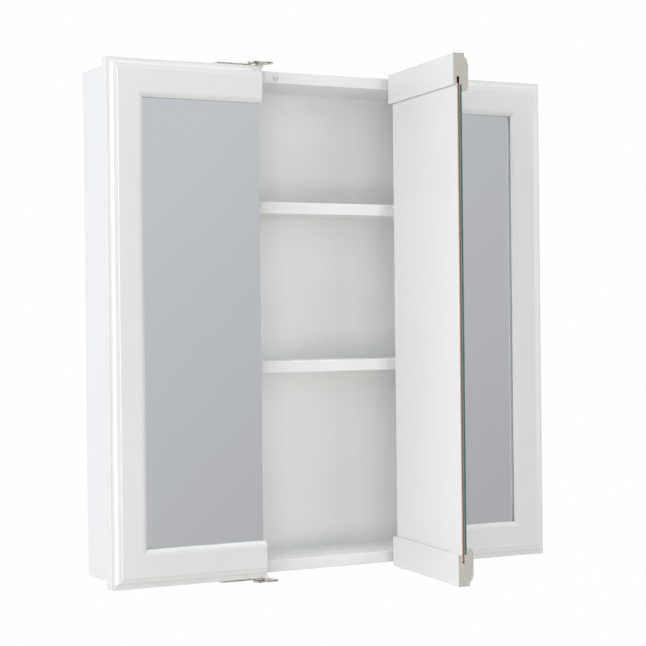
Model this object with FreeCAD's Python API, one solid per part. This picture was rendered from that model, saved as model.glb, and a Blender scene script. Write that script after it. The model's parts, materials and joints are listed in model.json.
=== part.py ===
import FreeCAD, Part
import math
import os

# Millimetres. +X to the right, -Y out of the wall, +Z up; the origin is the centre of the face on the wall.

# Doors
door_span = 609.6             # width over the three closed doors
door_height = 622.3
door_thickness = 19.05
door_gap = 7.0                # between neighbouring doors
center_open_angle = 82.5      # degrees, as the centre door stands

# Section of the rails and stiles
rail_width = 45.2             # outer edge to the nose of the lip over the glass
cove_setback = 5.1            # front face to the ledge along the outer edge
ledge_run = 2.0               # flat strip before the cove
cove_run = 5.5
cove_rise = 3.6
bead_run = 4.6
bead_rise = 0.7
step_run = 0.6
lip_run = 7.0
lip_drop = 5.5                # front face to the nose of the lip
arris = 0.6                   # rounding of the long edges
glass_recess = 8.6            # front face to the face of the glass
glass_cover = 8.2             # lip over the edge of the glass
glass_seat = 1.5              # width of the lip that lies on the glass
glass_thickness = 3.0
backer_thickness = 3.2
backer_head_gap = 8.0         # over the backer, in the upper groove
backer_foot_gap = 1.2         # under it, in the lower groove
kerf_depth = 9.5              # groove for the backer, beyond the edge of the glass
groove_clearance = 0.3        # edges of glass and backer to the ends of their grooves
outer_panel_inset = 1.0       # glass behind the rail ends at the hinge, outer doors
center_panel_inset = 4.0      # the same, centre door

# Box
side_reveal = 15.9            # doors past the sides of the box
end_reveal = 3.2              # doors past its top and bottom
bumper_gap = 3.2              # box to the backs of the closed doors
box_depth = 101.6
board = 14.0
edge_ease = 0.8               # rounding of the boards' front edges
back_thickness = 5.0
back_rabbet = 7.0             # back panel let into the boards
rabbet_clearance = 0.3
dado_depth = 4.0              # shelves let into the sides
dado_clearance = 0.1
shelf_setback = 2.4
lower_shelf_height = 245.1    # top of the cabinet's floor to the top of the shelf
upper_shelf_height = 441.4

# Dowels between the sides and the top and bottom
dowel_diameter = 8.0
dowel_in_side = 9.0
dowel_in_panel = 20.0
dowel_count = 3
dowel_margin = 18.0           # front and back edges to the end dowels
dowel_clearance = 0.1

# Wall screws, in the back panel
wall_hole_diameter = 5.5
wall_hole_spacing_x = 406.4
wall_hole_spacing_z = 457.2

# Bumpers on the front edges of the top and bottom
bumper_diameter = 8.0
bumper_inset = 22.5           # free end of the door to the bumper
bumper_slack = 0.1

# Pivot hinges
pivot_inset = 5.8             # hinge end of the door to the pivot
pivot_setback = 4.6           # front face of the door to the pivot
pivot_diameter = 4.0
pivot_clearance = 0.05
pivot_end_gap = 0.2           # end of the pin over the rail
pivot_head_diameter = 7.0
pivot_head_height = 0.5
leaf_length = 58.0
leaf_width = 8.5
leaf_thickness = 1.8
leaf_setback = 5.6            # front face of the door to the strip on the rail
leaf_ear_setback = 0.8        # front face of the door to the ear round the pivot
leaf_end_inset = 1.0
leaf_corner = 2.0
leaf_screw_first = 24.0       # hinge end of the door to the first screw
leaf_screw_pitch = 24.0
washer_diameter = 7.2
washer_thickness = 1.2
washer_clearance = 0.1
plate_thickness = 1.8
plate_outer_reach = 17.5      # line between the doors to the end over the outer door
plate_center_reach = 13.0     # the same, over the centre door
plate_neck_half_width = 6.5
plate_setback = 1.0
plate_shoulder = 10.0         # front edge of the plate to where it starts to narrow
plate_corner = 4.0
plate_bend_lead = 2.5         # bend to the front of the box
plate_bend_angle = 45.0
rib_width = 10.0
rib_height = 1.2
rib_margin = 2.0              # rib to the front edge of the plate, and to the bend
foot_length = 26.0
foot_screw_first = 7.0
foot_screw_pitch = 12.0
screw_diameter = 3.0
screw_head_diameter = 6.4
screw_length = 13.0
screw_tip = 3.0
screw_clearance = 0.05

vec = FreeCAD.Vector
origin = vec(0, 0, 0)
along_x = vec(1, 0, 0)
along_z = vec(0, 0, 1)

# Planes that the pieces share
box_front = -box_depth
door_back = box_front - bumper_gap
door_front = door_back - door_thickness
door_top = door_height / 2
box_top = door_top - end_reveal
box_side = door_span / 2 - side_reveal
inner_side = box_side - board
inner_top = box_top - board
door_line = door_span / 6             # middle of the gap between two doors
outer_edge = door_span / 2
outer_hinge_end = door_line + door_gap / 2
center_half = door_line - door_gap / 2

# Levels in the door's thickness, counted forward from its back face
ledge_level = door_thickness - cove_setback
glass_face_level = door_thickness - glass_recess
glass_back_level = glass_face_level - glass_thickness
backer_back_level = glass_back_level - backer_thickness
glass_shoulder = rail_width - glass_cover
kerf_bottom = glass_shoulder - kerf_depth

washer_level = door_top + leaf_thickness + washer_clearance
plate_level = washer_level + washer_thickness + washer_clearance
plate_front = door_front + plate_setback
plate_bend = box_front - plate_bend_lead
pivot_y = door_front + pivot_setback
left_pivot_x = -outer_hinge_end - pivot_inset
spare_pivot_x = -center_half + pivot_inset
center_pivot_x = center_half - pivot_inset


def block(x_low, x_high, y_low, y_high, z_low, z_high):
    return Part.makeBox(x_high - x_low, y_high - y_low, z_high - z_low, vec(x_low, y_low, z_low))


def prism(points, travel):
    return Part.Face(Part.makePolygon(points + points[:1])).extrude(travel)


def flip_x(shape):
    return shape.mirror(origin, along_x)


def flip_z(shape):
    return shape.mirror(origin, along_z)


def parallel_edges(shape, direction):
    return [edge for edge in shape.Edges
            if abs(edge.tangentAt(edge.FirstParameter).dot(direction)) > 0.999]


def ease_front(shape, direction):
    front = shape.BoundBox.YMin
    edges = [edge for edge in parallel_edges(shape, direction) if edge.BoundBox.YMax < front + edge_ease / 2]
    return shape.makeFillet(edge_ease, edges)


def screw(top, clearance=0.0):
    # countersunk wood screw, pointing down from the centre of its head
    shank_r = screw_diameter / 2 + clearance
    head_r = screw_head_diameter / 2 + clearance
    head_depth = head_r - shank_r
    end = screw_length + clearance
    outline = [
        vec(0, 0, 0),
        vec(head_r, 0, 0),
        vec(shank_r, 0, -head_depth),
        vec(shank_r, 0, screw_tip - end),
        vec(0, 0, -end),
    ]
    face = Part.Face(Part.makePolygon(outline + outline[:1]))
    solid = face.revolve(origin, along_z, 360)
    solid.translate(top)
    return solid


# Box

def shelf_levels():
    floor = -inner_top
    return [floor + lower_shelf_height, floor + upper_shelf_height]


def dowel_places():
    span = box_depth - back_thickness - 2 * dowel_margin
    steps = [index / (dowel_count - 1) for index in range(dowel_count)]
    return [vec(-inner_side, box_front + dowel_margin + span * step, inner_top + board / 2) for step in steps]


def dowel(place, clearance=0.0):
    start = place - along_x * (dowel_in_side + clearance)
    length = dowel_in_side + dowel_in_panel + 2 * clearance
    return Part.makeCylinder(dowel_diameter / 2 + clearance, length, start, along_x)


def dowel_holes():
    holes = [dowel(place, dowel_clearance) for place in dowel_places()]
    return holes + [flip_z(hole) for hole in holes]


def left_side_panel():
    panel = ease_front(block(-box_side, -inner_side, box_front, 0, -box_top, box_top), along_z)
    rabbet_x = -inner_side - back_rabbet
    rabbet_z = inner_top + back_rabbet
    panel = panel.cut(block(rabbet_x, -inner_side, -back_thickness, 0, -rabbet_z, rabbet_z))
    for level in shelf_levels():
        low = level - board - dado_clearance
        high = level + dado_clearance
        start = box_front + shelf_setback
        panel = panel.cut(block(-inner_side - dado_depth, -inner_side, start, -back_thickness, low, high))
    return panel.cut(dowel_holes())


def top_panel():
    panel = ease_front(block(-inner_side, inner_side, box_front, 0, inner_top, box_top), along_x)
    panel = panel.cut(block(-inner_side, inner_side, -back_thickness, 0, inner_top, inner_top + back_rabbet))
    holes = [dowel(place, dowel_clearance) for place in dowel_places()]
    screws = [screw(place, screw_clearance) for place in plate_screw_places()]
    cuts = holes + screws
    return panel.cut(cuts + [flip_x(cut) for cut in cuts])


def back_panel():
    half_x = inner_side + back_rabbet - rabbet_clearance
    half_z = inner_top + back_rabbet - rabbet_clearance
    panel = block(-half_x, half_x, -back_thickness, 0, -half_z, half_z)
    for x in (-wall_hole_spacing_x / 2, wall_hole_spacing_x / 2):
        for z in (-wall_hole_spacing_z / 2, wall_hole_spacing_z / 2):
            start = vec(x, -back_thickness, z)
            hole = Part.makeCylinder(wall_hole_diameter / 2, back_thickness, start, vec(0, 1, 0))
            panel = panel.cut(hole)
    return panel


def shelf(level):
    half_x = inner_side + dado_depth - dado_clearance
    front = box_front + shelf_setback
    return ease_front(block(-half_x, half_x, front, -back_thickness, level - board, level), along_x)


def carcass_dowels():
    corner = [dowel(place) for place in dowel_places()]
    top = corner + [flip_x(piece) for piece in corner]
    return top + [flip_z(piece) for piece in top]


def dome(base, outward, diameter, height):
    # spherical cap on its base
    foot_r = diameter / 2
    ball_r = (foot_r ** 2 + height ** 2) / (2 * height)
    half_angle = math.atan2(foot_r, ball_r - height) / 2
    apex = base + outward * height
    rim = base + along_x * foot_r
    middle = apex + along_x * (ball_r * math.sin(half_angle)) - outward * (ball_r - ball_r * math.cos(half_angle))
    edges = [Part.makeLine(base, rim), Part.Arc(rim, middle, apex).toShape(), Part.makeLine(apex, base)]
    return Part.Face(Part.Wire(edges)).revolve(base, outward, 360)


def bumper(x):
    return dome(vec(x, box_front, box_top - board / 2), vec(0, -1, 0), bumper_diameter, bumper_gap - bumper_slack)


def door_bumpers():
    # outer doors at top and bottom, centre door at the top only
    left = bumper(-outer_edge + side_reveal + bumper_inset)
    outer = [left, flip_x(left)]
    return outer + [flip_z(pad) for pad in outer] + [bumper(-center_half + bumper_inset)]


# Hinges

def plate_foot():
    # where the plate comes down on the box
    return plate_bend + (plate_level - box_top) / math.tan(math.radians(plate_bend_angle))


def plate_screw_places():
    start = plate_foot() + foot_screw_first
    level = box_top + plate_thickness
    return [vec(-door_line, start + foot_screw_pitch * index, level) for index in range(2)]


def hinge_plate():
    # above the line between the left and centre doors
    foot = plate_foot()
    end = foot + foot_length
    miter = plate_thickness * math.tan(math.radians(plate_bend_angle / 2))
    side_outline = [
        (plate_front, plate_level),
        (plate_bend, plate_level),
        (foot, box_top),
        (end, box_top),
        (end, box_top + plate_thickness),
        (foot + miter, box_top + plate_thickness),
        (plate_bend + miter, plate_level + plate_thickness),
        (plate_front, plate_level + plate_thickness),
    ]
    edge_x = -door_line - plate_outer_reach
    strip = prism([vec(edge_x, y, z) for y, z in side_outline], along_x * (plate_outer_reach + plate_center_reach))
    shoulder = plate_front + plate_shoulder
    outline = [
        (-plate_outer_reach, plate_front),
        (-plate_outer_reach, shoulder),
        (-plate_neck_half_width, foot),
        (-plate_neck_half_width, end),
        (plate_neck_half_width, end),
        (plate_neck_half_width, foot),
        (plate_center_reach, shoulder),
        (plate_center_reach, plate_front),
    ]
    height = plate_level + plate_thickness - box_top
    plan = prism([vec(x - door_line, y, box_top) for x, y in outline], along_z * height)
    corners = [edge for edge in parallel_edges(plan, along_z) if edge.BoundBox.YMax < plate_front + plate_corner / 2]
    plate = strip.common(plan.makeFillet(plate_corner, corners))
    plate = plate.fuse(pressed_rib(plate_level + plate_thickness)).cut(pressed_rib(plate_level))
    for x in (left_pivot_x, spare_pivot_x):
        plate = plate.cut(pivot_hole(x, plate_level, plate_thickness))
    return plate.cut([screw(place, screw_clearance) for place in plate_screw_places()])


def pressed_rib(level):
    # round-ended rib along the middle of the plate, standing on the given level
    half = rib_width / 2
    radius = (half ** 2 + rib_height ** 2) / (2 * rib_height)
    middle = level + rib_height - radius
    first = plate_front + rib_margin + half
    last = plate_bend - rib_margin - half
    diagonal = radius * math.sqrt(0.5)

    def place(y, out):
        return vec(-door_line, y, middle + out)

    ends = [place(first - radius, 0), place(last + radius, 0)]
    edges = [
        Part.Arc(ends[0], place(first - diagonal, diagonal), place(first, radius)).toShape(),
        Part.makeLine(place(first, radius), place(last, radius)),
        Part.Arc(place(last, radius), place(last + diagonal, diagonal), ends[1]).toShape(),
        Part.makeLine(ends[1], ends[0]),
    ]
    capsule = Part.Face(Part.Wire(edges)).revolve(ends[0], vec(0, 1, 0), 360)
    room = block(-door_line - half, -door_line + half, first - half, last + half, level, level + rib_height)
    return capsule.common(room)


def pivot_hole(x, level, depth):
    return Part.makeCylinder(pivot_diameter / 2 + pivot_clearance, depth, vec(x, pivot_y, level))


def pivot_pin(x, shank_low):
    # low rivet in the plate, down to the given level
    head_level = plate_level + plate_thickness
    shank = Part.makeCylinder(pivot_diameter / 2, head_level - shank_low, vec(x, pivot_y, shank_low))
    head = dome(vec(x, pivot_y, head_level), along_z, pivot_head_diameter, pivot_head_height)
    return shank.fuse(head).removeSplitter()


def hinge_pivots():
    # the spare hole of the left plate is closed by a rivet that ends under it
    leaf_low = door_top + pivot_end_gap
    left = pivot_pin(left_pivot_x, leaf_low)
    top = [left, flip_x(left), pivot_pin(center_pivot_x, leaf_low), pivot_pin(spare_pivot_x, plate_level)]
    return top + [flip_z(pin) for pin in top]


def hinge_washers():
    top = []
    for x in (left_pivot_x, center_pivot_x, -left_pivot_x):
        disc = Part.makeCylinder(washer_diameter / 2, washer_thickness, vec(x, pivot_y, washer_level))
        top.append(disc.cut(pivot_hole(x, washer_level, washer_thickness)))
    return top + [flip_z(washer) for washer in top]


def hinge_plate_screws():
    left = [screw(place) for place in plate_screw_places()]
    top = left + [flip_x(piece) for piece in left]
    return top + [flip_z(piece) for piece in top]


# Doors, closed, with the hinge at their right end

def leaf_screw_places(hinge_end):
    level = door_top + leaf_thickness
    offsets = [leaf_screw_first, leaf_screw_first + leaf_screw_pitch]
    return [vec(hinge_end - offset, door_front + leaf_setback + leaf_width / 2, level) for offset in offsets]


def leaf_screw_holes(hinge_end):
    return [screw(place, screw_clearance) for place in leaf_screw_places(hinge_end)]


def hinge_leaf(hinge_end):
    # strip on the rail, with an ear that reaches forward round the pivot
    end = hinge_end - leaf_end_inset
    pivot_x = hinge_end - pivot_inset
    strip_front = door_front + leaf_setback
    top = door_top + leaf_thickness
    strip = block(end - leaf_length, end, strip_front, strip_front + leaf_width, door_top, top)
    ear = block(2 * pivot_x - end, end, door_front + leaf_ear_setback, strip_front, door_top, top)
    leaf = strip.fuse(ear).removeSplitter()
    leaf = leaf.makeFillet(leaf_corner, parallel_edges(leaf, along_z))
    leaf = leaf.cut(pivot_hole(pivot_x, door_top, leaf_thickness))
    return leaf.cut(leaf_screw_holes(hinge_end))


def leaf_screws(hinge_end):
    top = [screw(place) for place in leaf_screw_places(hinge_end)]
    return Part.makeCompound(top + [flip_z(piece) for piece in top])


def rail_section(place):
    # inward from the outer edge, forward from the back face
    bead_start = ledge_run + cove_run
    bead_end = bead_start + bead_run
    lip_start = rail_width - lip_run
    cove_radius = (cove_run ** 2 + cove_rise ** 2) / (2 * cove_rise)
    cove_middle = ledge_level + cove_radius - math.sqrt(cove_radius ** 2 - (cove_run / 2) ** 2)
    lip_radius = (lip_run ** 2 + lip_drop ** 2) / (2 * lip_drop)
    lip_middle = door_thickness - lip_radius + math.sqrt(lip_radius ** 2 - (lip_run / 2) ** 2)
    outer_edge_line = [(0, 0), (0, ledge_level), (ledge_run, ledge_level)]
    front_line = [
        (bead_start, ledge_level + cove_rise),
        (bead_end, ledge_level + cove_rise + bead_rise),
        (bead_end + step_run, door_thickness),
        (lip_start, door_thickness),
    ]
    back_line = [
        (rail_width, door_thickness - lip_drop),
        (glass_shoulder + glass_seat, glass_face_level),
        (glass_shoulder, glass_face_level),
        (glass_shoulder, glass_back_level),
        (kerf_bottom, glass_back_level),
        (kerf_bottom, backer_back_level),
        (glass_shoulder, backer_back_level),
        (glass_shoulder, 0),
        (0, 0),
    ]

    def line(points):
        return Part.makePolygon([place(*point) for point in points])

    def arc(start, middle, end):
        return Part.Arc(place(*start), place(*middle), place(*end)).toShape()

    pieces = [
        line(outer_edge_line),
        arc(outer_edge_line[-1], (ledge_run + cove_run / 2, cove_middle), front_line[0]),
        line(front_line),
        arc(front_line[-1], (lip_start + lip_run / 2, lip_middle), back_line[0]),
        line(back_line),
    ]
    return Part.Face(Part.Wire([edge for piece in pieces for edge in piece.Edges]))


def moulding(place, direction, length):
    # the section drawn out, with its long edges eased
    strip = rail_section(place).extrude(direction * length)
    eased = [place(0, 0), place(0, ledge_level), place(glass_shoulder, 0)]
    edges = [edge for edge in parallel_edges(strip, direction)
             if any(edge.distToShape(Part.Vertex(corner))[0] < arris / 2 for corner in eased)]
    return strip.makeFillet(arris, edges)


def top_rail(start, end):
    def place(inward, forward):
        return vec(start, door_back - forward, door_top - inward)
    return moulding(place, along_x, end - start)


def left_stile():
    def place(inward, forward):
        return vec(-outer_edge + inward, door_back - forward, -door_top)
    return moulding(place, along_z, door_height).common(miter_block(stile_outline()))


def stile_outline():
    inner = -outer_edge + rail_width
    low = door_top - rail_width
    return [(-outer_edge, door_top), (inner, low), (inner, -low), (-outer_edge, -door_top)]


def outer_top_rail():
    rail = top_rail(-outer_edge, -outer_hinge_end)
    low = door_top - rail_width
    outline = [
        (-outer_edge, door_top),
        (-outer_hinge_end, door_top),
        (-outer_hinge_end, low),
        (-outer_edge + rail_width, low),
    ]
    rail = rail.common(miter_block(outline))
    return rail.cut(leaf_screw_holes(-outer_hinge_end))


def miter_block(outline):
    return prism([vec(x, door_front, z) for x, z in outline], vec(0, door_thickness, 0))


def glass(x_low, x_high):
    half_z = door_top - glass_shoulder - groove_clearance
    return block(x_low, x_high, door_back - glass_face_level, door_back - glass_back_level, -half_z, half_z)


def backer(x_low, x_high):
    groove = door_top - kerf_bottom
    z_low = -groove + backer_foot_gap
    z_high = groove - backer_head_gap
    return block(x_low, x_high, door_back - glass_back_level, door_back - backer_back_level, z_low, z_high)


def left_door():
    panel_end = -outer_hinge_end - outer_panel_inset
    rail = outer_top_rail()
    leaf = hinge_leaf(-outer_hinge_end)
    return {
        "stile": left_stile(),
        "top_rail": rail,
        "bottom_rail": flip_z(rail),
        "mirror": glass(-outer_edge + glass_shoulder + groove_clearance, panel_end),
        "backer": backer(-outer_edge + kerf_bottom + groove_clearance, panel_end),
        "top_leaf": leaf,
        "bottom_leaf": flip_z(leaf),
        "leaf_screws": leaf_screws(-outer_hinge_end),
    }


def center_door():
    panel_end = center_half - center_panel_inset
    rail = top_rail(-center_half, center_half).cut(leaf_screw_holes(center_half))
    leaf = hinge_leaf(center_half)
    pieces = {
        "top_rail": rail,
        "bottom_rail": flip_z(rail),
        "mirror": glass(-center_half, panel_end),
        "backer": backer(-center_half, panel_end),
        "top_leaf": leaf,
        "bottom_leaf": flip_z(leaf),
        "leaf_screws": leaf_screws(center_half),
    }
    for piece in pieces.values():
        piece.rotate(vec(center_pivot_x, pivot_y, 0), along_z, center_open_angle)
    return pieces


def cabinet():
    side = left_side_panel()
    top = top_panel()
    plate = hinge_plate()
    lower_level, upper_level = shelf_levels()
    return {
        "left_side_panel": side,
        "right_side_panel": flip_x(side),
        "top_panel": top,
        "bottom_panel": flip_z(top),
        "back_panel": back_panel(),
        "lower_shelf": shelf(lower_level),
        "upper_shelf": shelf(upper_level),
        "carcass_dowels": Part.makeCompound(carcass_dowels()),
        "door_bumpers": Part.makeCompound(door_bumpers()),
        "left_top_hinge_plate": plate,
        "left_bottom_hinge_plate": flip_z(plate),
        "right_top_hinge_plate": flip_x(plate),
        "right_bottom_hinge_plate": flip_x(flip_z(plate)),
        "hinge_plate_screws": Part.makeCompound(hinge_plate_screws()),
        "hinge_pivots": Part.makeCompound(hinge_pivots()),
        "hinge_washers": Part.makeCompound(hinge_washers()),
    }


def all_nodes():
    nodes = cabinet()
    for name, shape in left_door().items():
        nodes["left_door_" + name] = shape
        nodes["right_door_" + name] = flip_x(shape)
    for name, shape in center_door().items():
        nodes["center_door_" + name] = shape
    return nodes


os.makedirs("parts", exist_ok=True)
for node, solid in all_nodes().items():
    solid.exportStep("parts/" + node + ".step")
    print(node, len(solid.Solids), "solids", round(solid.Volume / 1000, 2), "cm3", solid.isValid())
print("left pivot", left_pivot_x, pivot_y, "centre pivot", center_pivot_x, pivot_y)
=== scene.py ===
import json
import math

import bmesh
import bpy
from mathutils import Matrix, Vector


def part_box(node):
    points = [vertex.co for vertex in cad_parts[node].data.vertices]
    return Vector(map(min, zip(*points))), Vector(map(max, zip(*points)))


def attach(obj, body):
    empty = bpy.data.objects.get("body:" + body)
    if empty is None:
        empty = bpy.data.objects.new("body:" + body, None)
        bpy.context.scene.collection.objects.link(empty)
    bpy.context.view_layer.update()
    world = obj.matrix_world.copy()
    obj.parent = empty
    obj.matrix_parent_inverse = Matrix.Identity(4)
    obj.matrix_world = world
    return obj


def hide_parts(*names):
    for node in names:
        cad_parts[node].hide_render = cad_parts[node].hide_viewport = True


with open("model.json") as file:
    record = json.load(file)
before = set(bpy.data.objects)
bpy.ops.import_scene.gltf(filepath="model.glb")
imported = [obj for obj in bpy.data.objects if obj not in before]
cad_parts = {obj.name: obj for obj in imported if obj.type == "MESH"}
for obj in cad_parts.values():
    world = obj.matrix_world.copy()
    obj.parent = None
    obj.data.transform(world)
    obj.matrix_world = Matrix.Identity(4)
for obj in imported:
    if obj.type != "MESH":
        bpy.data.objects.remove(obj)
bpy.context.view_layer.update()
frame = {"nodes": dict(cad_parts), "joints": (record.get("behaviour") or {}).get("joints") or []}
nodes = frame["nodes"]
scene = bpy.context.scene
print("frame loaded:", len(nodes), "nodes")


# Node helpers

noiseSpan = (0.3, 0.7)     # most of the noise lies between these


def setSockets(tree, node, sockets):
    for key, value in sockets.items():
        if isinstance(value, bpy.types.NodeSocket):
            tree.links.new(value, node.inputs[key])
        else:
            node.inputs[key].default_value = value


def addNode(tree, kind, sockets=None, **settings):
    node = tree.nodes.new("ShaderNode" + kind)
    for key, value in settings.items():
        setattr(node, key, value)
    setSockets(tree, node, sockets or {})
    return node


def addMath(tree, operation, *values):
    return addNode(tree, "Math", dict(enumerate(values)), operation=operation).outputs[0]


def newFinish(name):
    finish = bpy.data.materials.new(name)
    finish.use_nodes = True
    return finish, finish.node_tree, finish.node_tree.nodes["Principled BSDF"]


def grain(tree, size, detail=2.0, stretch=(1, 1, 1), turn=0.0):
    place = addNode(tree, "TexCoord").outputs["Object"]
    lay = addNode(tree, "Mapping", {"Vector": place, "Rotation": (0, 0, turn), "Scale": stretch})
    noise = addNode(tree, "TexNoise", {"Vector": lay.outputs[0], "Scale": 1 / size, "Detail": detail})
    return noise.outputs["Fac"]


def spread(tree, value, low, high):
    # noise stretched over the range from low to high
    start, stop = noiseSpan
    sockets = {"Value": value, "From Min": start, "From Max": stop, "To Min": low, "To Max": high}
    return addNode(tree, "MapRange", sockets).outputs[0]


def patches(tree, size, detail=2.0, stretch=(1, 1, 1)):
    # soft patches of 0 to 1
    return spread(tree, grain(tree, size, detail, stretch), 0, 1)


def ramp(tree, value, start, stop, kind="LINEAR"):
    # rises from 0 at the start to 1 at the stop
    sockets = {"Value": value, "From Min": start, "From Max": stop}
    return addNode(tree, "MapRange", sockets, interpolation_type=kind).outputs[0]


def mixColour(tree, share, first, second):
    return addNode(tree, "Mix", {0: share, 6: first, 7: second}, data_type="RGBA").outputs[2]


def mixNumber(tree, share, first, second):
    return addNode(tree, "Mix", {0: share, 2: first, 3: second}).outputs[0]


def bumps(tree, height, depth):
    return addNode(tree, "Bump", {"Height": height, "Distance": depth, "Strength": 1.0}).outputs[0]


def facing(tree, direction, bothWays=False, limit=0.93):
    # 1 on the faces of the resting piece that look along the direction
    normal = addNode(tree, "TexCoord").outputs["Normal"]
    dot = addNode(tree, "VectorMath", {0: normal, 1: direction}, operation="DOT_PRODUCT").outputs["Value"]
    if bothWays:
        dot = addMath(tree, "ABSOLUTE", dot)
    return addMath(tree, "GREATER_THAN", dot, limit)


def reach(tree, direction):
    # place on the resting piece along the direction
    place = addNode(tree, "TexCoord").outputs["Object"]
    return addNode(tree, "VectorMath", {0: place, 1: direction}, operation="DOT_PRODUCT").outputs["Value"]


def between(tree, value, low, high):
    return addMath(tree, "COMPARE", value, (low + high) / 2, (high - low) / 2)


def both(tree, first, second):
    return addMath(tree, "MULTIPLY", first, second)


def solidColour(red, green, blue):
    return (red, green, blue, 1.0)


def extent(name, direction):
    # how far a resting node reaches along the direction
    places = [vert.co.dot(direction) for vert in nodes[name].data.vertices]
    return min(places), max(places)


# Finishes: pairs of colours are mixed by noise, and sizes and depths are in metres

boardLook = {
    # the white inside the box is painted light: the same board is written far lighter here than the
    # outside tone below
    "white": (solidColour(0.94, 0.943, 0.945), solidColour(0.954, 0.957, 0.959)),
    "outside": (solidColour(0.699, 0.708, 0.725), solidColour(0.718, 0.726, 0.746)),
    "band": (solidColour(0.745, 0.751, 0.753), solidColour(0.763, 0.77, 0.772)),
    "cloudSize": 0.12,
    "skin": 0.004,
    "roughness": (0.36, 0.46),
    "sheenSize": 0.03,
    "peelSize": 0.0011,
    "peelDepth": 0.00002,
    "chip": (solidColour(0.30, 0.20, 0.11), solidColour(0.62, 0.49, 0.33)),
    "chipGrain": (0.0022, 4),
    "chipRoughness": 0.85,
}


def laminateFinish():
    # white laminate, painted lighter inside the box than outside as painted light for the shaded inside,
    # with a tone of its own on the front edges
    finish, tree, shader = newFinish("white_laminate")
    look = boardLook
    cloud = patches(tree, look["cloudSize"])
    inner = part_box("right_side_panel")[1].x - look["skin"]
    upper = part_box("top_panel")[1].z - look["skin"]
    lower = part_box("bottom_panel")[0].z + look["skin"]
    across = between(tree, reach(tree, (1, 0, 0)), -inner, inner)
    # inside the box, where the lighter white stands in as painted light on the shaded faces
    paintedLightInside = both(tree, across, between(tree, reach(tree, (0, 0, 1)), lower, upper))
    outside = mixColour(tree, cloud, *look["outside"])
    white = mixColour(tree, paintedLightInside, outside, mixColour(tree, cloud, *look["white"]))
    banded = facing(tree, (0, -1, 0))     # edge band along the front
    white = mixColour(tree, banded, white, mixColour(tree, cloud, *look["band"]))
    chips = mixColour(tree, patches(tree, *look["chipGrain"]), *look["chip"])
    raw = facing(tree, (0, 1, 0))     # cut edges on the wall side
    peel = grain(tree, look["peelSize"])
    satin = spread(tree, grain(tree, look["sheenSize"]), *look["roughness"])
    setSockets(tree, shader, {
        "Base Color": mixColour(tree, raw, white, chips),
        "Roughness": mixNumber(tree, raw, satin, look["chipRoughness"]),
        "Normal": bumps(tree, peel, look["peelDepth"]),
    })
    return finish


backLook = {
    "white": (solidColour(0.938, 0.943, 0.948), solidColour(0.95, 0.955, 0.96)),
    "cloudSize": 0.12,
    "whiteRoughness": 0.42,
    "brown": (solidColour(0.21, 0.125, 0.065), solidColour(0.33, 0.205, 0.115)),
    "brownRoughness": 0.78,
    "fibre": (0.0016, 5),
    "fibreDepth": 0.00004,
}


def backPanelFinish():
    # white inside, bare pressed fibre towards the wall and at the edges
    finish, tree, shader = newFinish("back_hardboard")
    look = backLook
    inside = facing(tree, (0, -1, 0))
    white = mixColour(tree, patches(tree, look["cloudSize"]), *look["white"])
    fibre = grain(tree, *look["fibre"])
    brown = mixColour(tree, spread(tree, fibre, 0, 1), *look["brown"])
    setSockets(tree, shader, {
        "Base Color": mixColour(tree, inside, brown, white),
        "Roughness": mixNumber(tree, inside, look["brownRoughness"], look["whiteRoughness"]),
        "Normal": bumps(tree, fibre, look["fibreDepth"]),
    })
    return finish


frameLook = {
    "white": (solidColour(0.694, 0.7, 0.701), solidColour(0.711, 0.717, 0.717)),
    "cloudSize": 0.1,
    "roughness": (0.34, 0.42),
    "sheenSize": 0.02,
    "waveSize": 0.014,
    "waveDepth": 0.00002,
    "bare": (solidColour(0.405, 0.39, 0.355), solidColour(0.495, 0.48, 0.44)),
    "bareRoughness": 0.8,
    # groove colour: bare fibre darkened well below the sawn ends, as painted shade in the recess
    "kerfShade": (solidColour(0.06, 0.036, 0.024), solidColour(0.12, 0.075, 0.048)),
    "fibre": (0.0009, 4),
    "kerfSlack": 0.0001,
    "kerfReach": 0.003,
}


def filmFinish(name, endDirection, outward=None, backer=None):
    # white film, with bare fibreboard on the sawn ends, and bare fibre darkened as painted shade in the
    # groove for the backer
    finish, tree, shader = newFinish(name)
    look = frameLook
    sawn = facing(tree, endDirection, bothWays=True)
    cover = mixColour(tree, patches(tree, look["cloudSize"]), *look["white"])
    fibre = grain(tree, *look["fibre"])
    bare = mixColour(tree, spread(tree, fibre, 0, 1), *look["bare"])
    if backer:
        low, high = extent(backer, outward)
        depth = between(tree, reach(tree, outward), low - look["kerfSlack"], high + look["kerfSlack"])
        foot = -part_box(backer)[0].z + look["kerfReach"]
        inside = both(tree, depth, between(tree, reach(tree, (0, 0, 1)), -foot, foot))
        # painted shade over the bare fibre in the groove
        kerfShade = mixColour(tree, spread(tree, fibre, 0, 1), *look["kerfShade"])
        cover = mixColour(tree, inside, cover, kerfShade)
    satin = spread(tree, grain(tree, look["sheenSize"]), *look["roughness"])
    wave = mixNumber(tree, sawn, grain(tree, look["waveSize"]), fibre)
    setSockets(tree, shader, {
        "Base Color": mixColour(tree, sawn, cover, bare),
        "Roughness": mixNumber(tree, sawn, satin, look["bareRoughness"]),
        "Normal": bumps(tree, wave, look["waveDepth"]),
    })
    return finish


glassLook = {
    "silver": (solidColour(0.85, 0.87, 0.875), solidColour(0.865, 0.88, 0.885)),
    "cloudSize": 0.2,
    "silverRoughness": 0.012,
    "edge": (solidColour(0.022, 0.10, 0.078), solidColour(0.062, 0.158, 0.125)),
    "edgeGrain": (0.0012, 2, (1, 1, 0.05)),
    "edgeRoughness": 0.16,
    "backing": (solidColour(0.27, 0.28, 0.29), solidColour(0.33, 0.34, 0.35)),
    "backingSize": 0.004,
    "paintShare": 0.22,
    "paintSlack": 0.001,
}


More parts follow.
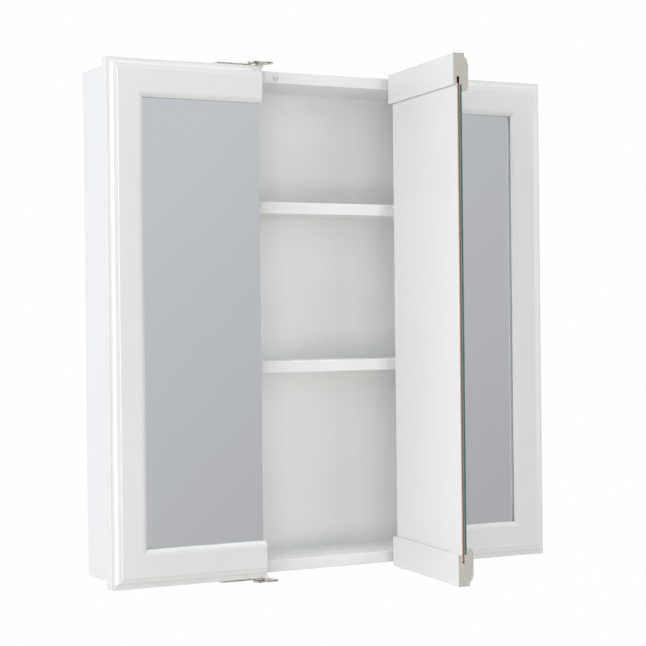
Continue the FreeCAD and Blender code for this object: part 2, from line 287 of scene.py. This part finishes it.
def mirrorFinish(name, outward, node):
    # silver seen from the front, sea green at the edges, grey paint behind
    finish, tree, shader = newFinish(name)
    look = glassLook
    front = facing(tree, outward)
    low, high = extent(node, outward)
    paintEnd = low + (high - low) * look["paintShare"]
    painted = between(tree, reach(tree, outward), low - look["paintSlack"], paintEnd)
    silver = mixColour(tree, patches(tree, look["cloudSize"]), *look["silver"])
    edge = mixColour(tree, patches(tree, *look["edgeGrain"]), *look["edge"])
    paint = mixColour(tree, patches(tree, look["backingSize"]), *look["backing"])
    rim = mixColour(tree, painted, edge, paint)
    setSockets(tree, shader, {
        "Base Color": mixColour(tree, front, rim, silver),
        "Metallic": front,
        "Roughness": mixNumber(tree, front, look["edgeRoughness"], look["silverRoughness"]),
    })
    return finish


backerLook = {
    "white": (solidColour(0.711, 0.717, 0.713), solidColour(0.727, 0.734, 0.729)),
    "cloudSize": 0.15,
    "roughness": (0.34, 0.44),
    "sheenSize": 0.03,
    "tan": (solidColour(0.60, 0.49, 0.405), solidColour(0.72, 0.61, 0.53)),
    "dark": (solidColour(0.10, 0.048, 0.028), solidColour(0.18, 0.095, 0.058)),
    "darkening": (0.05, 0.6),
    "fibre": (0.0008, 4, (1, 1, 0.3)),
    "fibreRoughness": 0.8,
    "pressSize": 0.0016,
    "pressDepth": 0.00002,
}


def backerFinish(name, outward, node):
    # white on the face towards the box, tan fibre at the edges that darkens towards the glass
    finish, tree, shader = newFinish(name)
    look = backerLook
    shown = facing(tree, -outward)
    white = mixColour(tree, patches(tree, look["cloudSize"]), *look["white"])
    fibre = patches(tree, *look["fibre"])
    low, high = extent(node, outward)
    start, stop = (low + (high - low) * share for share in look["darkening"])
    depth = ramp(tree, reach(tree, outward), start, stop)
    tan = mixColour(tree, fibre, *look["tan"])
    dark = mixColour(tree, fibre, *look["dark"])
    brown = mixColour(tree, depth, tan, dark)
    satin = spread(tree, grain(tree, look["sheenSize"]), *look["roughness"])
    setSockets(tree, shader, {
        "Base Color": mixColour(tree, shown, brown, white),
        "Roughness": mixNumber(tree, shown, look["fibreRoughness"], satin),
        "Normal": bumps(tree, grain(tree, look["pressSize"]), look["pressDepth"]),
    })
    return finish


steelLook = {
    "nickel": (solidColour(0.84, 0.83, 0.81), solidColour(0.91, 0.90, 0.88)),
    # painted dark reflection for the upright edges of the plates
    "edgeAndDarkReflection": (solidColour(0.05, 0.038, 0.03), solidColour(0.64, 0.61, 0.57)),
    "tan": (solidColour(0.28, 0.245, 0.20), solidColour(0.50, 0.45, 0.385)),
    "cloudSize": 0.005,
    "metallic": 0.65,
    "sheetRoughness": (0.24, 0.40),
    "pinRoughness": (0.14, 0.24),
    "screwRoughness": (0.16, 0.30),
    "brush": (0.0006, 3, (0.08, 1, 1)),
    "brushDepth": 0.00001,
    "flatLimit": 0.5,
}


def nickelFinish(name, roughness, turn=0.0, edge="nickel"):
    # bright plating on the flat faces, with the edges in a colour of their own, which on the left hinge
    # plates is painted dark reflection
    finish, tree, shader = newFinish(name)
    look = steelLook
    lines = grain(tree, *look["brush"], turn)
    cloud = patches(tree, look["cloudSize"])
    plated = mixColour(tree, cloud, *look["nickel"])
    edgeAndDarkReflection = mixColour(tree, cloud, *look[edge])
    flat = facing(tree, (0, 0, 1), bothWays=True, limit=look["flatLimit"])
    setSockets(tree, shader, {
        "Base Color": mixColour(tree, flat, edgeAndDarkReflection, plated),
        "Metallic": look["metallic"],
        "Roughness": spread(tree, lines, *look[roughness]),
        "Normal": bumps(tree, lines, look["brushDepth"]),
    })
    return finish


washerLook = {
    "dark": (solidColour(0.10, 0.075, 0.055), solidColour(0.17, 0.13, 0.10)),
    "metallic": 0.5,
    "roughness": (0.32, 0.48),
    "grain": (0.0012, 3),
}


def washerFinish():
    # oiled dark steel
    finish, tree, shader = newFinish("washer_steel")
    lines = grain(tree, *washerLook["grain"])
    setSockets(tree, shader, {
        "Base Color": mixColour(tree, spread(tree, lines, 0, 1), *washerLook["dark"]),
        "Metallic": washerLook["metallic"],
        "Roughness": spread(tree, lines, *washerLook["roughness"]),
    })
    return finish


bumperLook = {
    "milk": (solidColour(0.62, 0.61, 0.565), solidColour(0.715, 0.7, 0.65)),
    "cloudSize": 0.004,
    "roughness": (0.22, 0.34),
    "sheenSize": 0.0015,
    "coat": 0.4,
}


def bumperFinish():
    finish, tree, shader = newFinish("milky_bumper")
    look = bumperLook
    setSockets(tree, shader, {
        "Base Color": mixColour(tree, patches(tree, look["cloudSize"]), *look["milk"]),
        "Roughness": spread(tree, grain(tree, look["sheenSize"]), *look["roughness"]),
        "Coat Weight": look["coat"],
    })
    return finish


woodLook = {
    "beech": (solidColour(0.46, 0.30, 0.16), solidColour(0.62, 0.44, 0.26)),
    "roughness": (0.55, 0.7),
    "grain": (0.0012, 4, (0.06, 1, 1)),
    "grainDepth": 0.00005,
}


def dowelFinish():
    finish, tree, shader = newFinish("beech_dowel")
    lines = grain(tree, *woodLook["grain"])
    setSockets(tree, shader, {
        "Base Color": mixColour(tree, spread(tree, lines, 0, 1), *woodLook["beech"]),
        "Roughness": spread(tree, lines, *woodLook["roughness"]),
        "Normal": bumps(tree, lines, woodLook["grainDepth"]),
    })
    return finish


def dress(finish, *names):
    for name in names:
        slots = nodes[name].data.materials
        slots.clear()
        slots.append(finish)


# How the doors lie at rest: along their rails and out of their mirrors
centerJoint = next(joint for joint in frame["joints"] if joint["child"] == "center_door")
centerTurn = math.radians(-centerJoint["range_deg"][0])
centerAlong = Vector((math.cos(centerTurn), math.sin(centerTurn), 0))
centerOut = Vector((math.sin(centerTurn), -math.cos(centerTurn), 0))
outerAlong = Vector((1, 0, 0))
outerOut = Vector((0, -1, 0))

laminate = laminateFinish()
dress(laminate, "left_side_panel", "right_side_panel", "top_panel", "bottom_panel")
dress(laminate, "lower_shelf", "upper_shelf")
dress(backPanelFinish(), "back_panel")
dress(dowelFinish(), "carcass_dowels")
dress(bumperFinish(), "door_bumpers")

plateNickel = nickelFinish("plate_nickel", "sheetRoughness")
# the left hinge plates get painted dark reflection on their upright edges
darkReflectionNickel = nickelFinish("plate_nickel_dark_reflection", "sheetRoughness", edge="edgeAndDarkReflection")
dress(darkReflectionNickel, "left_top_hinge_plate", "left_bottom_hinge_plate")
dress(plateNickel, "right_top_hinge_plate", "right_bottom_hinge_plate")
dress(nickelFinish("pin_nickel", "pinRoughness"), "hinge_pivots")
dress(washerFinish(), "hinge_washers")

dress(filmFinish("stile_film", (0, 0, 1)), "left_door_stile", "right_door_stile")
doorWays = {
    # body: along, out, turn, colour of the leaves' edges
    "left_door": (outerAlong, outerOut, 0.0, "tan"),
    "right_door": (outerAlong, outerOut, 0.0, "nickel"),
    "center_door": (centerAlong, centerOut, -centerTurn, "nickel"),
}
for door, (doorAlong, doorOut, turn, leafEdge) in doorWays.items():
    film = filmFinish(door + "_rail_film", doorAlong, doorOut, door + "_backer")
    dress(film, door + "_top_rail", door + "_bottom_rail")
    dress(mirrorFinish(door + "_silver", doorOut, door + "_mirror"), door + "_mirror")
    dress(backerFinish(door + "_hardboard", doorOut, door + "_backer"), door + "_backer")
    leafNickel = nickelFinish(door + "_leaf_nickel", "sheetRoughness", turn, leafEdge)
    dress(leafNickel, door + "_top_leaf", door + "_bottom_leaf")
print("finishes set:", len(bpy.data.materials))


# Small pieces

def islandBoxes(name, joinWithin=1e-6):
    # low and high corners of each loose piece of a node
    bm = bmesh.new()
    bm.from_mesh(nodes[name].data)
    bmesh.ops.remove_doubles(bm, verts=bm.verts, dist=joinWithin)
    left = set(bm.verts)
    boxes = []
    while left:
        front = [left.pop()]
        found = []
        while front:
            vert = front.pop()
            found.append(vert.co.copy())
            for edge in vert.link_edges:
                other = edge.other_vert(vert)
                if other in left:
                    left.remove(other)
                    front.append(other)
        low = Vector([min(co[axis] for co in found) for axis in range(3)])
        high = Vector([max(co[axis] for co in found) for axis in range(3)])
        boxes.append((low, high))
    bm.free()
    return sorted(boxes, key=lambda box: tuple(box[0]))


def finishMesh(name, bm):
    mesh = bpy.data.meshes.new(name)
    bm.to_mesh(mesh)
    bm.free()
    return mesh


def stampMesh(name, pattern, places):
    # one mesh with a copy of the pattern at each place
    bm = bmesh.new()
    for place in places:
        copy = pattern.copy()
        copy.transform(place)
        bm.from_mesh(copy)
        bpy.data.meshes.remove(copy)
    return finishMesh(name, bm)


def addPiece(name, mesh, finish, body):
    mesh.materials.append(finish)
    piece = bpy.data.objects.new(name, mesh)
    scene.collection.objects.link(piece)
    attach(piece, body)
    return piece


def newVerts(made):
    return [item for item in made["geom"] if isinstance(item, bmesh.types.BMVert)]


def newEdges(made):
    return [item for item in made["geom"] if isinstance(item, bmesh.types.BMEdge)]


screwSet = {
    "headRadius": 0.0032,
    "shankRadius": 0.0015,
    "sink": 0.0017,
    "shank": 0.0083,
    "tip": 0.003,
    "crossHalf": 0.00042,
    "crossArm": 0.0014,
    "crossDepth": 0.0011,
    "crossTaper": 0.7,
    "rim": 0.00015,
    "sides": 24,
    "twist": 0.9,
}


def screwPattern():
    # countersunk head with a cross recess, pointing down from the middle of its head
    size = screwSet
    taper = size["crossTaper"]
    neck = size["shankRadius"] / size["headRadius"]
    bm = bmesh.new()
    bmesh.ops.create_grid(bm, x_segments=1, y_segments=1, size=size["crossHalf"])
    for edge in list(bm.edges):
        outward = (edge.verts[0].co + edge.verts[1].co).normalized()
        arm = bmesh.ops.extrude_edge_only(bm, edges=[edge])
        bmesh.ops.translate(bm, verts=newVerts(arm), vec=outward * size["crossArm"])
    cross = list(bm.faces)
    outline = [edge for edge in bm.edges if edge.is_boundary]
    ring = bmesh.ops.create_circle(bm, segments=size["sides"], radius=size["headRadius"])
    rimEdges = list(dict.fromkeys(edge for vert in ring["verts"] for edge in vert.link_edges))
    bmesh.ops.bridge_loops(bm, edges=outline + rimEdges)
    recess = bmesh.ops.extrude_face_region(bm, geom=cross)
    bmesh.ops.translate(bm, verts=newVerts(recess), vec=(0, 0, -size["crossDepth"]))
    bmesh.ops.scale(bm, verts=newVerts(recess), vec=(taper, taper, 1))
    loop = rimEdges
    for drop, ratio in ((size["sink"], neck), (size["shank"], 1)):
        made = bmesh.ops.extrude_edge_only(bm, edges=loop)
        bmesh.ops.translate(bm, verts=newVerts(made), vec=(0, 0, -drop))
        bmesh.ops.scale(bm, verts=newVerts(made), vec=(ratio, ratio, 1))
        loop = [edge for edge in newEdges(made) if edge.is_boundary]
    made = bmesh.ops.extrude_edge_only(bm, edges=loop)
    depth = size["sink"] + size["shank"] + size["tip"]
    bmesh.ops.pointmerge(bm, verts=newVerts(made), merge_co=(0, 0, -depth))
    bmesh.ops.bevel(bm, geom=[edge for edge in rimEdges if edge.is_valid], offset=size["rim"], segments=2,
                    profile=0.5, affect="EDGES", material=-1)
    bmesh.ops.recalc_face_normals(bm, faces=bm.faces)
    return finishMesh("screw_pattern", bm)


screwNickel = nickelFinish("screw_nickel", "screwRoughness")
screwMesh = screwPattern()
screwNodes = {
    "hinge_plate_screws": "cabinet",
    "left_door_leaf_screws": "left_door",
    "right_door_leaf_screws": "right_door",
    "center_door_leaf_screws": "center_door",
}
for node, body in screwNodes.items():
    places = []
    for count, (low, high) in enumerate(islandBoxes(node)):
        middle = (low + high) / 2
        above = middle.z > 0
        head = Vector((middle.x, middle.y, high.z if above else low.z))
        flip = Matrix.Rotation(0 if above else math.pi, 4, "X")
        twist = Matrix.Rotation(screwSet["twist"] * count, 4, "Z")     # each stops at its own angle
        places.append(Matrix.Translation(head) @ flip @ twist)
    crossName = node + "_cross"
    crossMesh = stampMesh(crossName, screwMesh, places)
    screws = addPiece(crossName, crossMesh, screwNickel, body)
    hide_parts(node)
print("screws set")


bradSet = {
    "radius": 0.0013,
    "crown": 0.00012,
    "crownShare": 0.35,
    "shank": 0.004,
    "edge": 0.0035,
    "pitch": 0.085,
    "sides": 12,
}


def bradPattern():
    # low round head that points towards +Y
    size = bradSet
    bm = bmesh.new()
    bmesh.ops.create_circle(bm, cap_ends=True, segments=size["sides"], radius=size["radius"])
    rim = list(bm.edges)
    top = list(bm.faces)
    slope = size["radius"] * size["crownShare"]
    bmesh.ops.inset_region(bm, faces=top, thickness=slope, depth=size["crown"])
    skirt = bmesh.ops.extrude_edge_only(bm, edges=rim)
    bmesh.ops.translate(bm, verts=newVerts(skirt), vec=(0, 0, -size["shank"]))
    bmesh.ops.recalc_face_normals(bm, faces=bm.faces)
    bmesh.ops.rotate(bm, verts=bm.verts, matrix=Matrix.Rotation(-math.pi / 2, 3, "X"))
    return finishMesh("brad_pattern", bm)


def evenSteps(low, high, pitch):
    count = round((high - low) / pitch)
    return [low + (high - low) * index / count for index in range(count + 1)]


panelLow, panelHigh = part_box("back_panel")
bradEdge = Vector((bradSet["edge"], 0, bradSet["edge"]))
bradLow = panelLow + bradEdge
bradHigh = panelHigh - bradEdge
bradRows = evenSteps(bradLow.z, bradHigh.z, bradSet["pitch"])
bradColumns = evenSteps(bradLow.x, bradHigh.x, bradSet["pitch"])
bradPlaces = [(x, z) for x in (bradLow.x, bradHigh.x) for z in bradRows]
bradPlaces += [(x, z) for z in (bradLow.z, bradHigh.z) for x in bradColumns[1:-1]]
bradMatrices = [Matrix.Translation((x, panelHigh.y, z)) for x, z in bradPlaces]
bradMesh = stampMesh("back_brads", bradPattern(), bradMatrices)
addPiece("back_brads", bradMesh, screwNickel, "cabinet")
print("brads set:", len(bradMatrices))


# Studio

floorSet = {
    "pale": (solidColour(0.84, 0.815, 0.78), solidColour(0.87, 0.845, 0.81)),
    "grain": (0.05, 3),
    "roughness": 0.8,
    "drop": 1.2,
    "radius": 3.0,
    "fade": (1.4, 2.9),
    "sides": 96,
}


def floorFinish():
    # pale, and clear towards its rim so that no edge shows
    finish, tree, shader = newFinish("studio_floor")
    pale = mixColour(tree, patches(tree, *floorSet["grain"]), *floorSet["pale"])
    setSockets(tree, shader, {"Base Color": pale, "Roughness": floorSet["roughness"]})
    place = addNode(tree, "TexCoord").outputs["Object"]
    flat = addNode(tree, "VectorMath", {0: place, 1: (1, 1, 0)}, operation="MULTIPLY").outputs[0]
    away = addNode(tree, "VectorMath", {0: flat}, operation="LENGTH").outputs["Value"]
    fade = ramp(tree, away, *floorSet["fade"], kind="SMOOTHSTEP")
    clear = addNode(tree, "BsdfTransparent").outputs[0]
    mixed = addNode(tree, "MixShader", {0: fade, 1: shader.outputs[0], 2: clear})
    tree.links.new(mixed.outputs[0], tree.nodes["Material Output"].inputs["Surface"])
    return finish


def addStageMesh(name, bm, finish):
    mesh = finishMesh(name, bm)
    mesh.materials.append(finish)
    made = bpy.data.objects.new(name, mesh)
    scene.collection.objects.link(made)
    return made


floorMesh = bmesh.new()
bmesh.ops.create_circle(floorMesh, cap_ends=True, segments=floorSet["sides"], radius=floorSet["radius"])
bmesh.ops.translate(floorMesh, verts=floorMesh.verts, vec=(0, 0, -floorSet["drop"]))
addStageMesh("studio_floor", floorMesh, floorFinish())


cardSet = {
    "radius": 3.6,
    "height": 5.0,
    "sides": 96,
    "dusk": (solidColour(0.469, 0.461, 0.478), solidColour(0.617, 0.629, 0.65)),
    "levels": (-1.05, 1.05),
    "sideways": -1.1,
    "middle": 1.65,
    "white": solidColour(1, 1, 1),
    "endFade": (-1.7, -0.2),
    "heightFade": (1.5, 2.45),
}


def cardFinish():
    # grey blue dusk of the studio in front, white towards the rims
    finish, tree = newFinish("studio_card")[:2]
    place = addNode(tree, "TexCoord").outputs["Object"]
    parts = addNode(tree, "SeparateXYZ", {0: place}).outputs
    across = addMath(tree, "SUBTRACT", parts["X"], cardSet["middle"])
    lean = addMath(tree, "MULTIPLY", across, cardSet["sideways"])
    level = addMath(tree, "ADD", parts["Z"], lean)
    colour = mixColour(tree, ramp(tree, level, *cardSet["levels"]), *cardSet["dusk"])
    height = addMath(tree, "ABSOLUTE", parts["Z"])
    for value, key in ((parts["Y"], "endFade"), (height, "heightFade")):
        fade = ramp(tree, value, *cardSet[key], kind="SMOOTHSTEP")
        colour = mixColour(tree, fade, colour, cardSet["white"])
    glow = addNode(tree, "Emission", {"Color": colour, "Strength": 1.0})
    tree.links.new(glow.outputs[0], tree.nodes["Material Output"].inputs["Surface"])
    return finish


# Half a cylinder in front of the part, which shows in reflections only
cardMesh = bmesh.new()
bmesh.ops.create_cone(cardMesh, cap_ends=False, segments=cardSet["sides"], radius1=cardSet["radius"],
                      radius2=cardSet["radius"], depth=cardSet["height"])
bmesh.ops.bisect_plane(cardMesh, geom=cardMesh.verts[:] + cardMesh.edges[:] + cardMesh.faces[:],
                       plane_co=(0, 0, 0), plane_no=(0, 1, 0), clear_outer=True)
card = addStageMesh("studio_card", cardMesh, cardFinish())
card.visible_camera = False
card.visible_diffuse = False
card.visible_transmission = False
card.visible_shadow = False
print("floor and card set")


lightSet = {
    "fill": (solidColour(0.965, 0.985, 1.0), 0.2),
    "backdrop": (solidColour(1, 1, 1), 1.0),
    "lamps": {
        # name: place, width and height, power, colour
        "front": ((-1.58, -2.74, 0.45), (1.6, 2.6), 14.3, (0.975, 0.993, 1.0)),
        "slant": ((-2.63, -1.77, 0.45), (1.0, 2.4), 24.8, (0.975, 0.993, 1.0)),
        "ahead": ((0.22, -3.16, 0.45), (1.0, 2.4), 11.5, (0.975, 0.993, 1.0)),
        "low": ((-1.45, -2.7, -0.85), (1.8, 0.7), 13.0, (1.0, 0.92, 0.82)),
        "side": ((-2.98, -0.74, 0.88), (1.4, 1.6), 37.7, (0.97, 0.985, 1.0)),
        "edge": ((-3.01, 0.98, 0.45), (1.4, 2.0), 17.5, (0.985, 0.995, 1.0)),
        "right": ((2.87, -1.34, 0.45), (1.4, 2.0), 39.5, (0.99, 0.998, 1.0)),
        "top": ((-0.14, -0.82, 3.09), (2.0, 2.0), 46.0, (0.985, 0.995, 1.0)),
    },
}


def addBackground(tree, colour, strength):
    return addNode(tree, "Background", {"Color": colour, "Strength": strength}).outputs[0]


def addWorld():
    # dim fill on the part, with white where the camera or a reflection sees past it
    world = bpy.data.worlds.new("studio")
    scene.world = world
    world.use_nodes = True
    tree = world.node_tree
    tree.nodes.clear()
    path = addNode(tree, "LightPath").outputs
    shown = addMath(tree, "MAXIMUM", path["Is Camera Ray"], path["Is Glossy Ray"])
    shown = addMath(tree, "MAXIMUM", shown, path["Is Transmission Ray"])
    fill = addBackground(tree, *lightSet["fill"])
    white = addBackground(tree, *lightSet["backdrop"])
    mixed = addNode(tree, "MixShader", {0: shown, 1: fill, 2: white})
    tree.links.new(mixed.outputs[0], addNode(tree, "OutputWorld").inputs["Surface"])


def addLamp(name, place, size, power, colour):
    # soft box that faces the middle of the frame
    lamp = bpy.data.lights.new(name, "AREA")
    lamp.shape = "RECTANGLE"
    lamp.size, lamp.size_y = size
    lamp.energy = power
    lamp.color = colour
    made = bpy.data.objects.new(name, lamp)
    made.location = place
    made.rotation_euler = (-Vector(place)).to_track_quat("-Z", "Y").to_euler()
    scene.collection.objects.link(made)


addWorld()
for name, settings in lightSet["lamps"].items():
    addLamp(name, *settings)
print("light set")


cameraSet = {
    "place": (-1.03694, -2.02119, 0.00223),
    "yaw": 28.07,
    "pitch": -0.12,
    "roll": -0.63,
    "lens": 97.03,
    "sensor": 36.0,
}


def addCamera():
    lens = bpy.data.cameras.new("photo_camera")
    lens.sensor_fit = "HORIZONTAL"
    lens.sensor_width = cameraSet["sensor"]
    lens.lens = cameraSet["lens"]
    camera = bpy.data.objects.new("photo_camera", lens)
    scene.collection.objects.link(camera)
    turn = Matrix.Rotation(math.radians(-cameraSet["yaw"]), 4, "Z")
    tilt = Matrix.Rotation(math.radians(90 + cameraSet["pitch"]), 4, "X")
    roll = Matrix.Rotation(math.radians(cameraSet["roll"]), 4, "Z")
    camera.matrix_world = Matrix.Translation(cameraSet["place"]) @ turn @ tilt @ roll
    scene.camera = camera


addCamera()
scene.view_settings.view_transform = "Standard"
print("camera set")
